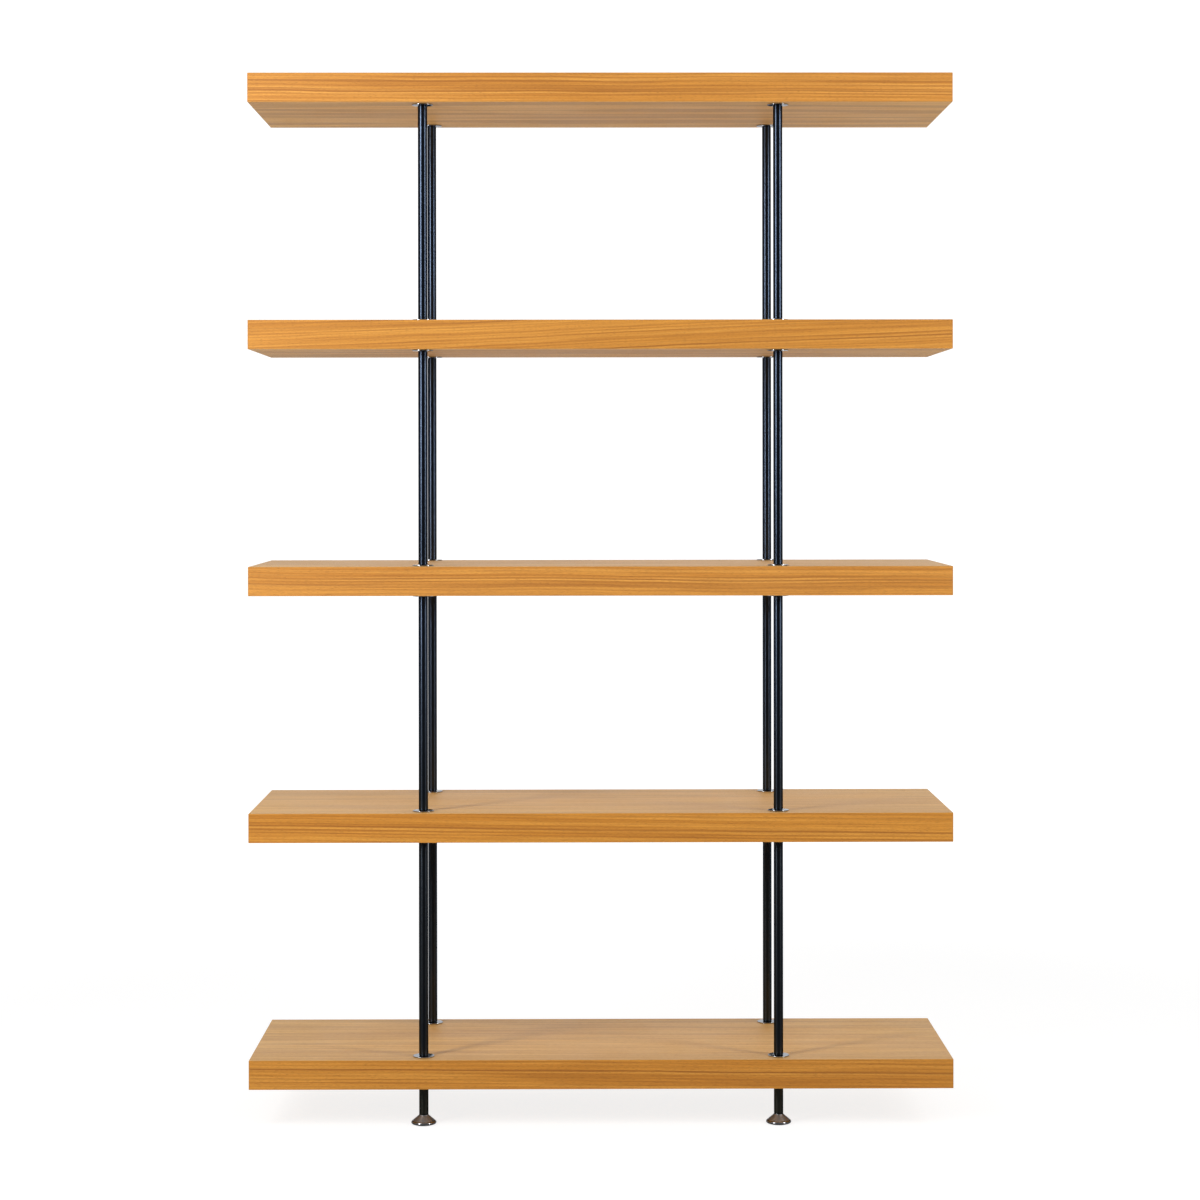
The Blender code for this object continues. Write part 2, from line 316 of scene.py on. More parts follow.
# Shares of the colours that are laid over each other, and gloss and relief of the lacquer.
CLOUD_RISE = (0.30, 0.70)
PALE_STREAK_RISE = (0.48, 0.72, 0.0, 0.55)
DARK_STREAK_RISE = (0.52, 0.28, 0.0, 0.34)
LINE_SHARE = 0.55
DARK_VEIN_SHARE = 0.60
PALE_VEIN_SHARE = 0.50
FLAT_BAND_RISE = (0.58, 0.40, 0.0, 0.34)
UNDER_BAND_RISE = (0.56, 0.44, 0.0, 0.30)
FIBRE_RISE = (0.30, 0.72, 0.0, 0.26)
PORE_SHARE = 0.35
GLUE_SHARE = 0.45
ARRIS_SHARE = 0.10
LACQUER_SMUDGES = 7.0  # per metre
LACQUER_DULLING = 0.05
PORE_DULLING = 0.10
PORE_SINK = -0.8  # in heights of a fibre
GRAIN_RELIEF = 0.25
GRAIN_DEPTH = 0.0001


def veneer_material(name, low, high, leaf):
    """Satin lacquered veneer of one shelf."""
    material, tree, shader = new_material(name)
    inputs = {
        "Half Width": (high.x - low.x) / 2,
        "Half Depth": (high.y - low.y) / 2,
        "Half Thickness": (high.z - low.z) / 2,
        "Middle Height": (high.z + low.z) / 2,
        "Leaf": leaf["Leaf"],
    }
    faces = node(tree, "ShaderNodeGroup", inputs, node_tree=BOARD_FACES).outputs
    inputs = {
        "Along": faces["Along"],
        "Across": faces["Across"],
        "Leaf": faces["Face Leaf"],
        "Slant": leaf["Slant"],
        "Wave": leaf["Wave"],
        "Line Spacing": LINE_SPACING,
        "Vein": (high.z + low.z) / 2 + leaf["Vein"],
    }
    grain = node(tree, "ShaderNodeGroup", inputs, node_tree=VENEER_GRAIN).outputs
    on_edge = work_out(tree, "SUBTRACT", 1.0, faces["Flat"])
    layers = (
        (grade(tree, grain["Cloud"], *CLOUD_RISE), AMBER),
        (grade(tree, grain["Streak"], *PALE_STREAK_RISE), PALE),
        (grade(tree, grain["Streak"], *DARK_STREAK_RISE), LATE_WOOD),
        (times(tree, grain["Line"], LINE_SHARE), LATE_WOOD),
        (times(tree, grain["Dark Vein"], on_edge, DARK_VEIN_SHARE), LATE_WOOD),
        (times(tree, grain["Pale Vein"], on_edge, PALE_VEIN_SHARE), PALE),
        (times(tree, grade(tree, grain["Cloud"], *FLAT_BAND_RISE), faces["Flat"]), LATE_WOOD),
        (times(tree, grade(tree, grain["Cloud"], *UNDER_BAND_RISE), faces["Under"]), LATE_WOOD),
        (grade(tree, grain["Fibre"], *FIBRE_RISE), LATE_WOOD),
        (times(tree, grain["Pore"], PORE_SHARE), PORE_BROWN),
        (times(tree, faces["Glue Line"], GLUE_SHARE), GLUE_BROWN),
        (times(tree, faces["Arris"], ARRIS_SHARE), HONEY),
    )
    color = HONEY
    for factor, over in layers:
        color = lay_over(tree, factor, color, over)
    # Paler veneer of the wide faces, with painted sheen of grazing light in the same tint.
    color = lay_over(tree, faces["Flat"], color, FLAT_TINT_AND_PAINTED_SHEEN, "MULTIPLY")
    # Painted light: the undersides are made paler, standing in for light bounced up from the floor.
    color = lay_over(tree, faces["Under"], color, UNDER_PAINTED_LIGHT_TINT, "MULTIPLY")
    tone = {"Saturation": leaf["Depth"], "Value": leaf["Tone"], "Color": color}
    smudge = smudges(tree, LACQUER_SMUDGES)
    gloss = work_out(tree, "MULTIPLY_ADD", smudge, LACQUER_DULLING, LACQUER_ROUGHNESS)
    height = work_out(tree, "MULTIPLY_ADD", grain["Pore"], PORE_SINK, grain["Fibre"])
    inputs = {
        "Base Color": node(tree, "ShaderNodeHueSaturation", tone).outputs[0],
        "Roughness": work_out(tree, "MULTIPLY_ADD", grain["Pore"], PORE_DULLING, gloss),
        "IOR": LACQUER_IOR,
        "Normal": relief(tree, height, GRAIN_RELIEF, GRAIN_DEPTH),
    }
    feed(tree, shader, inputs)
    return material


def board(name, low, high):
    """Solid board with every arris rounded."""
    work = bmesh.new()
    size = Matrix.Diagonal((*(high - low), 1))
    bmesh.ops.create_cube(work, size=1, matrix=Matrix.Translation((low + high) / 2) @ size)
    bmesh.ops.bevel(
        work,
        geom=work.edges[:],
        offset=ARRIS,
        segments=ARRIS_STEPS,
        profile=ARRIS_PROFILE,
        affect="EDGES",
    )
    bmesh.ops.recalc_face_normals(work, faces=work.faces)
    mesh = bpy.data.meshes.new(name)
    work.to_mesh(mesh)
    work.free()
    return mesh


def geometry_tree(name, needs):
    """New Geometry Nodes tree, with what it is given and the node that takes its result."""
    tree = bpy.data.node_groups.new(name, "GeometryNodeTree")
    for label, kind in needs.items():
        tree.interface.new_socket(label, in_out="INPUT", socket_type="NodeSocket" + kind)
    tree.interface.new_socket("Geometry", in_out="OUTPUT", socket_type="NodeSocketGeometry")
    return tree, tree.nodes.new("NodeGroupInput").outputs, tree.nodes.new("NodeGroupOutput")


def post_places(tree, given):
    """Points on the axes of the four posts."""
    inputs = {
        "Size X": given["Post Spacing X"],
        "Size Y": given["Post Spacing Y"],
        "Vertices X": 2,
        "Vertices Y": 2,
    }
    return node(tree, "GeometryNodeMeshGrid", inputs).outputs["Mesh"]


def finish_tree(tree, geometry, material, result):
    """End of a tree: plain geometry with its material."""
    plain = node(tree, "GeometryNodeRealizeInstances", {"Geometry": geometry}).outputs[0]
    inputs = {"Geometry": plain, "Material": material}
    feed(tree, result, {"Geometry": node(tree, "GeometryNodeSetMaterial", inputs).outputs[0]})


def bored_shelf_tree():
    """Four bores on the post centres, cut up into a board from below its underside."""
    needs = {
        "Board": "Geometry",
        "Post Spacing X": "Float",
        "Post Spacing Y": "Float",
        "Bore Radius": "Float",
        "Bore Bottom": "Float",
        "Bore Depth": "Float",
        "Material": "Material",
    }
    tree, given, result = geometry_tree("Bored shelf", needs)
    posts = post_places(tree, given)
    drill = {"Vertices": BORE_SIDES, "Radius": given["Bore Radius"], "Depth": given["Bore Depth"]}
    drill = node(tree, "GeometryNodeMeshCylinder", drill, fill_type="NGON").outputs["Mesh"]
    middle = work_out(tree, "MULTIPLY_ADD", given["Bore Depth"], 0.5, given["Bore Bottom"])
    lift = node(tree, "ShaderNodeCombineXYZ", {2: middle}).outputs[0]
    drill = node(tree, "GeometryNodeTransform", {"Geometry": drill, "Translation": lift}).outputs[0]
    drills = node(tree, "GeometryNodeInstanceOnPoints", {"Points": posts, "Instance": drill}).outputs[0]
    drills = node(tree, "GeometryNodeRealizeInstances", {"Geometry": drills}).outputs[0]
    inputs = {"Mesh 1": given["Board"], "Mesh 2": drills}
    cut = node(tree, "GeometryNodeMeshBoolean", inputs, operation="DIFFERENCE", solver="EXACT")
    finish_tree(tree, cut.outputs["Mesh"], given["Material"], result)
    return tree


def make_piece(name, mesh, tree=None, values=None):
    """Object at the origin, with its mesh worked on by a tree and then kept as a plain one."""
    piece = bpy.data.objects.new(name, mesh)
    bpy.context.scene.collection.objects.link(piece)
    if tree:
        modifier = piece.modifiers.new(tree.name, "NODES")
        modifier.node_group = tree
        for socket in tree.interface.items_tree:
            if socket.in_out == "INPUT" and socket.name in values:
                modifier[socket.identifier] = values[socket.name]
        graph = bpy.context.evaluated_depsgraph_get()
        plain = bpy.data.meshes.new_from_object(piece.evaluated_get(graph), depsgraph=graph)
        piece.modifiers.remove(modifier)
        piece.data = plain
        plain.name = name
    return piece


BORED_SHELF = bored_shelf_tree()

for shelf, leaf in zip(SHELVES, LEAVES):
    low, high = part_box(shelf)
    depth = high.z - low.z + BORE_OVERRUN
    depth = depth - TOP_SKIN if shelf == SHELVES[-1] else depth + BORE_OVERRUN
    values = {
        "Post Spacing X": 2 * POST_X,
        "Post Spacing Y": 2 * POST_Y,
        "Bore Radius": SLEEVE_RADIUS + SLEEVE_GAP,
        "Bore Bottom": low.z - BORE_OVERRUN,
        "Bore Depth": depth,
        "Material": veneer_material(f"veneer of {shelf}", low, high, leaf),
    }
    piece = make_piece(f"veneered_{shelf}", board(shelf, low, high), BORED_SHELF, values)
    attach(piece, "frame")
    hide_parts(shelf)


# Ferrules
# A chrome sleeve lines each bore of the four lower shelves, with a thin turned ring on both faces.
# The rods seat on the rings, so that the shelf is clamped and its veneer isn't crushed.

FERRULES = sorted(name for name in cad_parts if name.startswith("ferrule_"))
LEVELS = len(SHELVES) - 1
TURNED_SIDES = 64
SHARP_ANGLE = math.radians(35)
WELD_DISTANCE = 0.000001
BORE_RADIUS = 0.0053
SEAT_GAP = 0.0003  # between a ring and the face of its shelf
RING_EASE = 0.0004
EASE_STEPS = 3
EASE_SHARE = 0.45  # most that an eased corner takes of the shorter side next to it

CHROME = (0.45, 0.46, 0.48, 1)
CHROME_SHADE = (0.36, 0.37, 0.39, 1)
CHROME_EDGE_TINT = (0.57, 0.59, 0.62, 1)
CHROME_ROUGHNESS = 0.10
CHROME_SMUDGES = 60.0  # per metre
CHROME_SMUDGE_SHARE = 0.6
CHROME_DULLING = 0.06
TOOL_RATES = (0.4, 2600.0)  # waves per radian round the post and per metre away from it
TOOL_DULLING = 0.05
TOOL_RELIEF = 0.15
TOOL_DEPTH = 0.00005


def eased(outline, radius):
    """Outline of (radius, height) points with each corner inside it rounded."""
    points = [outline[0]]
    for before, corner, after in zip(outline, outline[1:], outline[2:]):
        sides = [(end[0] - corner[0], end[1] - corner[1]) for end in (before, after)]
        lengths = [math.hypot(*side) for side in sides]
        reach = min(radius, EASE_SHARE * min(lengths))
        starts = [
            (corner[0] + side[0] * reach / length, corner[1] + side[1] * reach / length)
            for side, length in zip(sides, lengths)
        ]
        for step in range(EASE_STEPS + 1):
            t = step / EASE_STEPS
            weights = ((1 - t) ** 2, 2 * t * (1 - t), t**2)
            curve = (starts[0], corner, starts[1])
            points.append(tuple(sum(w * p[axis] for w, p in zip(weights, curve)) for axis in (0, 1)))
    points.append(outline[-1])
    return points


def turned(name, outline):
    """Mesh turned about Z from (radius, height) points. Off the axis, the outline closes on itself."""
    work = bmesh.new()
    points = [work.verts.new((radius, 0, height)) for radius, height in outline]
    edges = [work.edges.new(pair) for pair in zip(points, points[1:])]
    if outline[0][0] > 0:
        edges.append(work.edges.new((points[-1], points[0])))
    bmesh.ops.spin(
        work,
        geom=points + edges,
        cent=(0, 0, 0),
        axis=(0, 0, 1),
        angle=math.tau,
        steps=TURNED_SIDES,
        use_merge=True,
    )
    bmesh.ops.remove_doubles(work, verts=work.verts, dist=WELD_DISTANCE)
    bmesh.ops.recalc_face_normals(work, faces=work.faces)
    mesh = bpy.data.meshes.new(name)
    work.to_mesh(mesh)
    work.free()
    mesh.shade_smooth()
    mesh.set_sharp_from_angle(angle=SHARP_ANGLE)
    return mesh


def copies_tree():
    """A turned piece set on every post, once on each level."""
    needs = {
        "Piece": "Geometry",
        "Post Spacing X": "Float",
        "Post Spacing Y": "Float",
        "Levels": "Int",
        "Level Pitch": "Float",
        "Material": "Material",
    }
    tree, given, result = geometry_tree("Copies on the posts", needs)
    posts = post_places(tree, given)
    step = node(tree, "ShaderNodeCombineXYZ", {2: given["Level Pitch"]}).outputs[0]
    levels = node(tree, "GeometryNodeMeshLine", {"Count": given["Levels"], "Offset": step}).outputs[0]
    places = node(tree, "GeometryNodeInstanceOnPoints", {"Points": levels, "Instance": posts}).outputs[0]
    places = node(tree, "GeometryNodeRealizeInstances", {"Geometry": places}).outputs[0]
    inputs = {"Points": places, "Instance": given["Piece"]}
    copies = node(tree, "GeometryNodeInstanceOnPoints", inputs).outputs[0]
    finish_tree(tree, copies, given["Material"], result)
    return tree


def about_post_group():
    """Distance and angle round the nearest post, which is the axis of every turned piece."""
    needs = ("Post X", "Post Y")
    tree, given, result = group("About the post", needs, ("Radius", "Angle", "Height"))
    x, y, z = split(tree, place_on_piece(tree))
    x = work_out(tree, "SUBTRACT", work_out(tree, "ABSOLUTE", x), given["Post X"])
    y = work_out(tree, "SUBTRACT", work_out(tree, "ABSOLUTE", y), given["Post Y"])
    outwards = node(tree, "ShaderNodeCombineXYZ", {0: x, 1: y}).outputs[0]
    radius = node(tree, "ShaderNodeVectorMath", {0: outwards}, operation="LENGTH").outputs["Value"]
    feed(tree, result, {"Radius": radius, "Angle": work_out(tree, "ARCTAN2", y, x), "Height": z})
    return tree


COPIES = copies_tree()
ABOUT_POST = about_post_group()


def about_post(tree):
    """Outputs that give places round the posts of this bookcase."""
    inputs = {"Post X": POST_X, "Post Y": POST_Y}
    return node(tree, "ShaderNodeGroup", inputs, node_tree=ABOUT_POST).outputs


def chrome_material(name, bright, shade, edge_tint, roughness, rim=None):
    """Chrome over turned steel, with faint rings from the tool. A rim may be smoother and cleaner."""
    material, tree, shader = new_material(name)
    place = about_post(tree)
    smudge = smudges(tree, CHROME_SMUDGES)
    marks = streaks(tree, place["Angle"], place["Radius"], 0.0, TOOL_RATES)
    gloss = work_out(tree, "MULTIPLY_ADD", smudge, CHROME_DULLING, roughness)
    metal = 1.0
    if rim:
        on_rim = grade(tree, place["Radius"], rim["start"], rim["end"])
        gloss = work_out(tree, "MULTIPLY_ADD", on_rim, rim["roughness"] - roughness, gloss)
        inside = rim["metallic inside"]
        metal = work_out(tree, "MULTIPLY_ADD", on_rim, 1.0 - inside, inside)
    inputs = {
        "Base Color": lay_over(tree, times(tree, smudge, CHROME_SMUDGE_SHARE), bright, shade),
        "Metallic": metal,
        "Specular Tint": edge_tint,
        "Roughness": work_out(tree, "MULTIPLY_ADD", marks, TOOL_DULLING, gloss),
        "Normal": relief(tree, marks, TOOL_RELIEF, TOOL_DEPTH),
    }
    feed(tree, shader, inputs)
    return material


POLISHED_CHROME = chrome_material(
    "polished chrome", CHROME, CHROME_SHADE, CHROME_EDGE_TINT, CHROME_ROUGHNESS
)

ferrule_low, ferrule_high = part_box("ferrule_1_front_right")
shelf_low, shelf_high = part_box(SHELVES[0])
RING_RADIUS = (ferrule_high.x - ferrule_low.x) / 2
SHELF_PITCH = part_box(SHELVES[1])[0].z - shelf_low.z
ferrule_outline = [
    (BORE_RADIUS, ferrule_low.z),
    (RING_RADIUS, ferrule_low.z),
    (RING_RADIUS, shelf_low.z - SEAT_GAP),
    (SLEEVE_RADIUS, shelf_low.z - SEAT_GAP),
    (SLEEVE_RADIUS, shelf_high.z + SEAT_GAP),
    (RING_RADIUS, shelf_high.z + SEAT_GAP),
    (RING_RADIUS, ferrule_high.z),
    (BORE_RADIUS, ferrule_high.z),
]
on_every_level = {
    "Post Spacing X": 2 * POST_X,
    "Post Spacing Y": 2 * POST_Y,
    "Levels": LEVELS,
    "Level Pitch": SHELF_PITCH,
}
values = {**on_every_level, "Material": POLISHED_CHROME}
ferrule_mesh = turned("ferrule", eased(ferrule_outline, RING_EASE))
piece = make_piece("chrome_ferrules", ferrule_mesh, COPIES, values)
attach(piece, "frame")
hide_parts(*FERRULES)


# Top inserts
# The top shelf is bored blind, so each post ends in a chrome barrel set into its underside.
# A ring like those of the ferrules covers the bore, and a stud below it screws into the last rod.

INSERTS = sorted(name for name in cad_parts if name.startswith("insert_"))
STUD_RADIUS = 0.005

insert_low, insert_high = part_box(INSERTS[0])
top_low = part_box(SHELVES[-1])[0]
RING_THICKNESS = ferrule_high.z - shelf_high.z - SEAT_GAP
insert_outline = [
    (0, insert_low.z),
    (STUD_RADIUS, insert_low.z),
    (STUD_RADIUS, top_low.z - SEAT_GAP - RING_THICKNESS),
    (RING_RADIUS, top_low.z - SEAT_GAP - RING_THICKNESS),
    (RING_RADIUS, top_low.z - SEAT_GAP),
    (SLEEVE_RADIUS, top_low.z - SEAT_GAP),
    (SLEEVE_RADIUS, insert_high.z),
    (0, insert_high.z),
]
once = {**on_every_level, "Levels": 1}
values = {**once, "Material": POLISHED_CHROME}
piece = make_piece("top_inserts", turned("insert", eased(insert_outline, RING_EASE)), COPIES, values)
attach(piece, "frame")
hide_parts(*INSERTS)


# Rods and legs
# Drawn round steel bar with chamfered ends, ground across its length and then blued almost black. A rod
# has a stud below and a bore above, so each one screws through a shelf into the next. A short leg, bored
# right through, ends each post.

RODS = sorted(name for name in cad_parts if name.startswith("rod_"))
LEGS = sorted(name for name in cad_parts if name.startswith("leg_"))
ROD_RADIUS = (rod_high.x - rod_low.x) / 2
ROD_CHAMFER = 0.0008
ROD_EASE = 0.0003
BORE_DEPTH = 0.017

BLUED = (0.042, 0.057, 0.086, 1)
BLUED_DARK = (0.031, 0.042, 0.064, 1)
# lighter colour at the chamfers of the bar
CHAMFER_TONE = (0.080, 0.090, 0.108, 1)
BLUED_EDGE_TINT = (0.09, 0.11, 0.14, 1)  # oxide keeps the bar dark where it turns away
PAINTED_FLOOR_REFLECTION_TINT = (1.00, 0.88, 0.70, 1)  # painted reflection: the blue is taken out towards the floor, standing in for the warm floor and wood that low rods reflect
PAINTED_FLOOR_REFLECTION_RISE = (0.95, 0.25)  # by height, in metres
LEG_FOOT_TINT = (2.00, 1.70, 1.20, 1)  # lighter and warmer at the foot of each post
LEG_FOOT_RISE = (0.12, 0.06)  # by height, in metres
BLUED_ROUGHNESS = 0.29
BLUED_ANISOTROPY = 0.75  # the grinding runs round the bar, so a reflection is drawn out along it
BLUED_SMUDGES = 22.0  # per metre
BLUED_SMUDGE_SHARE = 0.35
BLUED_DULLING = 0.01
DRAWN_SEED = 3.0
DRAWN_RATES = (2.5, 26.0)  # waves per metre along the bar and per radian round it
DRAWN_RISE = (0.35, 0.70, 0.0, 0.35)
DRAWN_DULLING = 0.02
DRAWN_RELIEF = 0.10
DRAWN_DEPTH = 0.00005
CHAMFER_RISE = (ROD_RADIUS - 0.00005, ROD_RADIUS - 0.0003)  # just inside the round of the bar
CHAMFER_SHARE = 0.5


def blued_steel_material():
    """Blued steel with faint lines from drawing, cloudy colour and brighter chamfers."""
    material, tree, shader = new_material("blued steel")
    place = about_post(tree)
    smudge = smudges(tree, BLUED_SMUDGES)
    lines = streaks(tree, place["Height"], place["Angle"], DRAWN_SEED, DRAWN_RATES)
    color = lay_over(tree, times(tree, smudge, BLUED_SMUDGE_SHARE), BLUED, BLUED_DARK)
    color = lay_over(tree, grade(tree, lines, *DRAWN_RISE), color, BLUED_DARK)
    # Painted reflection: lower down, the bar is warmed as if it reflected the warm floor and wood.
    painted_low_reflection = grade(tree, place["Height"], *PAINTED_FLOOR_REFLECTION_RISE)
    color = lay_over(tree, painted_low_reflection, color, PAINTED_FLOOR_REFLECTION_TINT, "MULTIPLY")
    # Lighter and warmer near the floor.
    leg_foot_share = grade(tree, place["Height"], *LEG_FOOT_RISE)
    color = lay_over(tree, leg_foot_share, color, LEG_FOOT_TINT, "MULTIPLY")
    chamfer = times(tree, grade(tree, place["Radius"], *CHAMFER_RISE), CHAMFER_SHARE)
    gloss = work_out(tree, "MULTIPLY_ADD", smudge, BLUED_DULLING, BLUED_ROUGHNESS)
    inputs = {
        "Base Color": lay_over(tree, chamfer, color, CHAMFER_TONE),
        "Metallic": 1.0,
        "Specular Tint": BLUED_EDGE_TINT,
        "Anisotropic": BLUED_ANISOTROPY,
        "Tangent": node(tree, "ShaderNodeCombineXYZ", {2: 1.0}).outputs[0],
        "Roughness": work_out(tree, "MULTIPLY_ADD", lines, DRAWN_DULLING, gloss),
        "Normal": relief(tree, lines, DRAWN_RELIEF, DRAWN_DEPTH),
    }
    feed(tree, shader, inputs)
    return material


BLUED_STEEL = blued_steel_material()

rod_shoulder = ferrule_high.z + SEAT_GAP
rod_outline = [
    (0, rod_low.z),
    (STUD_RADIUS, rod_low.z),
    (STUD_RADIUS, rod_shoulder),
    (ROD_RADIUS - ROD_CHAMFER, rod_shoulder),
    (ROD_RADIUS, rod_shoulder + ROD_CHAMFER),
    (ROD_RADIUS, rod_high.z - ROD_CHAMFER),
    (ROD_RADIUS - ROD_CHAMFER, rod_high.z),
    (BORE_RADIUS, rod_high.z),
    (BORE_RADIUS, rod_high.z - BORE_DEPTH),
    (0, rod_high.z - BORE_DEPTH),
]
values = {**on_every_level, "Material": BLUED_STEEL}
piece = make_piece("blued_rods", turned("rod", eased(rod_outline, ROD_EASE)), COPIES, values)
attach(piece, "frame")
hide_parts(*RODS)

leg_low, leg_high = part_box(LEGS[0])
leg_outline = [
    (BORE_RADIUS, leg_low.z),
    (ROD_RADIUS - ROD_CHAMFER, leg_low.z),
    (ROD_RADIUS, leg_low.z + ROD_CHAMFER),
    (ROD_RADIUS, leg_high.z - ROD_CHAMFER),
    (ROD_RADIUS - ROD_CHAMFER, leg_high.z),
    (BORE_RADIUS, leg_high.z),
]
values = {**once, "Material": BLUED_STEEL}
piece = make_piece("blued_legs", turned("leg", eased(leg_outline, ROD_EASE)), COPIES, values)
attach(piece, "frame")
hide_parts(*LEGS)


# Caps of the levelling feet
# Solid steel turned to a cone with a rounded rim, brushed on the cone, polished on the rim and chromed.
# The top of the cone meets the end of the leg, and its underside is hollowed for the pad and screw head.

CORNERS = ("front_left", "front_right", "rear_left", "rear_right")
RIM_RADIUS = 0.0025
RIM_STEPS = 10
RIM_WIDTH = 0.0045
RIM_BLEND = 0.0005  # over which the finish changes
COLLAR_STEP = 0.0004
COLLAR_HEIGHT = 0.0008
COLLAR_EASE = 0.0002
HEAD_RADIUS = 0.009
HEAD_THICKNESS = 0.004
FIT_GAP = 0.0003

WORN_CHROME = (0.42, 0.42, 0.44, 1)
WORN_SHADE = (0.26, 0.26, 0.27, 1)
WORN_EDGE_TINT = (0.36, 0.37, 0.39, 1)
CONE_METALLIC = 0.94  # the rest is a dull haze
CONE_ROUGHNESS = 0.28
RIM_ROUGHNESS = 0.10


def arc(centre, radius, start, end, steps):
    """Points of a round stretch of an outline, from one angle to another."""
    angles = [start + (end - start) * step / steps for step in range(steps + 1)]
    return [
        (centre[0] + radius * math.cos(angle), centre[1] + radius * math.sin(angle)) for angle in angles
    ]


def tangent_angle(point, centre, radius):
    """Angle on a circle where a straight line from a point above it touches its outer side."""
    across = point[0] - centre[0]
    up = point[1] - centre[1]
    return math.atan2(up, across) - math.acos(radius / math.hypot(across, up))


def on_foot(name, mesh, corner, node_name, material):
    """Piece of the foot under one post, moving with that foot."""
    mesh = mesh.copy()
    side = 1 if "right" in corner else -1
    back = 1 if "rear" in corner else -1
    mesh.transform(Matrix.Translation((side * POST_X, back * POST_Y, 0)))
    mesh.materials.clear()
    mesh.materials.append(material)
    piece = make_piece(name, mesh)
    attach(piece, f"foot_{corner}")
    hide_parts(node_name)


cap_low, cap_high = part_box("foot_cap_front_right")
pad_low, pad_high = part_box("foot_pad_front_right")
FOOT_RADIUS = (cap_high.x - cap_low.x) / 2
collar_bottom = (ROD_RADIUS + COLLAR_STEP, cap_high.z - COLLAR_HEIGHT)
rim_centre = (FOOT_RADIUS - RIM_RADIUS, cap_low.z + RIM_RADIUS)
rim_start = tangent_angle(collar_bottom, rim_centre, RIM_RADIUS)
recess_top = pad_high.z + FIT_GAP
head_top = recess_top + HEAD_THICKNESS + FIT_GAP
cap_outline = [
    (BORE_RADIUS, cap_high.z),
    (ROD_RADIUS + COLLAR_STEP, cap_high.z),
    collar_bottom,
    *arc(rim_centre, RIM_RADIUS, rim_start, -math.pi / 2, RIM_STEPS),
    (FOOT_RADIUS - RIM_WIDTH, cap_low.z),
    (FOOT_RADIUS - RIM_WIDTH, recess_top),
    (HEAD_RADIUS + FIT_GAP, recess_top),
    (HEAD_RADIUS + FIT_GAP, head_top),
    (BORE_RADIUS, head_top),
]
cap_mesh = turned("cap", eased(cap_outline, COLLAR_EASE))
rim = {
    "start": FOOT_RADIUS - RIM_RADIUS,
    "end": FOOT_RADIUS - RIM_RADIUS + RIM_BLEND,
    "roughness": RIM_ROUGHNESS,
    "metallic inside": CONE_METALLIC,
}
CAP_CHROME = chrome_material("worn chrome", WORN_CHROME, WORN_SHADE, WORN_EDGE_TINT, CONE_ROUGHNESS, rim)
for corner in CORNERS:
    on_foot(f"chrome_cap_{corner}", cap_mesh, corner, f"foot_cap_{corner}", CAP_CHROME)


# Stems of the levelling feet
# Headed zinc-plated screws that hold the caps and wind up into the legs.
# The thread is cut almost down to the head, and shows when a foot is wound out.

THREAD_PITCH = 0.0015
THREAD_DEPTH = 0.0008
THREAD_SIDES = 32
STEPS_PER_TURN = 8
THREAD_RUNOUT = 0.0015

ZINC = (0.56, 0.57, 0.57, 1)
ZINC_WARM = (0.55, 0.52, 0.44, 1)
ZINC_ROUGHNESS = 0.30
ZINC_SMUDGES = 140.0  # per metre
ZINC_DULLING = 0.18


def thread_tree():
    """Bar with a thread that fades out at both ends, joined to the head below it."""
    needs = {
        "Head": "Geometry",
        "Crest Radius": "Float",
        "Thread Depth": "Float",
        "Pitch": "Float",
        "Runout": "Float",
        "Bottom": "Float",
        "Length": "Float",
        "Rings": "Int",
        "Material": "Material",
    }
    tree, given, result = geometry_tree("Threaded stem", needs)
    bar = {
        "Vertices": THREAD_SIDES,
        "Side Segments": given["Rings"],
        "Radius": given["Crest Radius"],
        "Depth": given["Length"],
    }
    bar = node(tree, "GeometryNodeMeshCylinder", bar, fill_type="NGON").outputs["Mesh"]
    x, y, z = split(tree, node(tree, "GeometryNodeInputPosition").outputs[0])
    turns = work_out(tree, "DIVIDE", work_out(tree, "ARCTAN2", y, x), math.tau)
    phase = work_out(tree, "SUBTRACT", work_out(tree, "DIVIDE", z, given["Pitch"]), turns)
    ridge = times(tree, work_out(tree, "PINGPONG", phase, 0.5), 2.0)
    to_end = work_out(tree, "SUBTRACT", times(tree, given["Length"], 0.5), work_out(tree, "ABSOLUTE", z))
    runout = grade(tree, work_out(tree, "DIVIDE", to_end, given["Runout"]), 0.0, 1.0)
    empty = work_out(tree, "SUBTRACT", 1.0, times(tree, ridge, runout))
    cut = times(tree, given["Thread Depth"], empty)
    share = work_out(tree, "SUBTRACT", 1.0, work_out(tree, "DIVIDE", cut, given["Crest Radius"]))
    middle = work_out(tree, "MULTIPLY_ADD", given["Length"], 0.5, given["Bottom"])
    moved = {0: times(tree, x, share), 1: times(tree, y, share), 2: work_out(tree, "ADD", middle, z)}
    moved = node(tree, "ShaderNodeCombineXYZ", moved).outputs[0]
    bar = node(tree, "GeometryNodeSetPosition", {"Geometry": bar, "Position": moved}).outputs[0]
    joined = node(tree, "GeometryNodeMeshBoolean", operation="UNION", solver="EXACT")
    for part in (bar, given["Head"]):
        feed(tree, joined, {"Mesh 2": part})
    finish_tree(tree, joined.outputs["Mesh"], given["Material"], result)
    return tree


def zinc_material():
    """Zinc plating, slightly yellowed and dulled in patches."""
    material, tree, shader = new_material("zinc plating")
    smudge = smudges(tree, ZINC_SMUDGES)
    inputs = {
        "Base Color": lay_over(tree, smudge, ZINC, ZINC_WARM),
        "Metallic": 1.0,
        "Roughness": work_out(tree, "MULTIPLY_ADD", smudge, ZINC_DULLING, ZINC_ROUGHNESS),
    }
    feed(tree, shader, inputs)
    return material


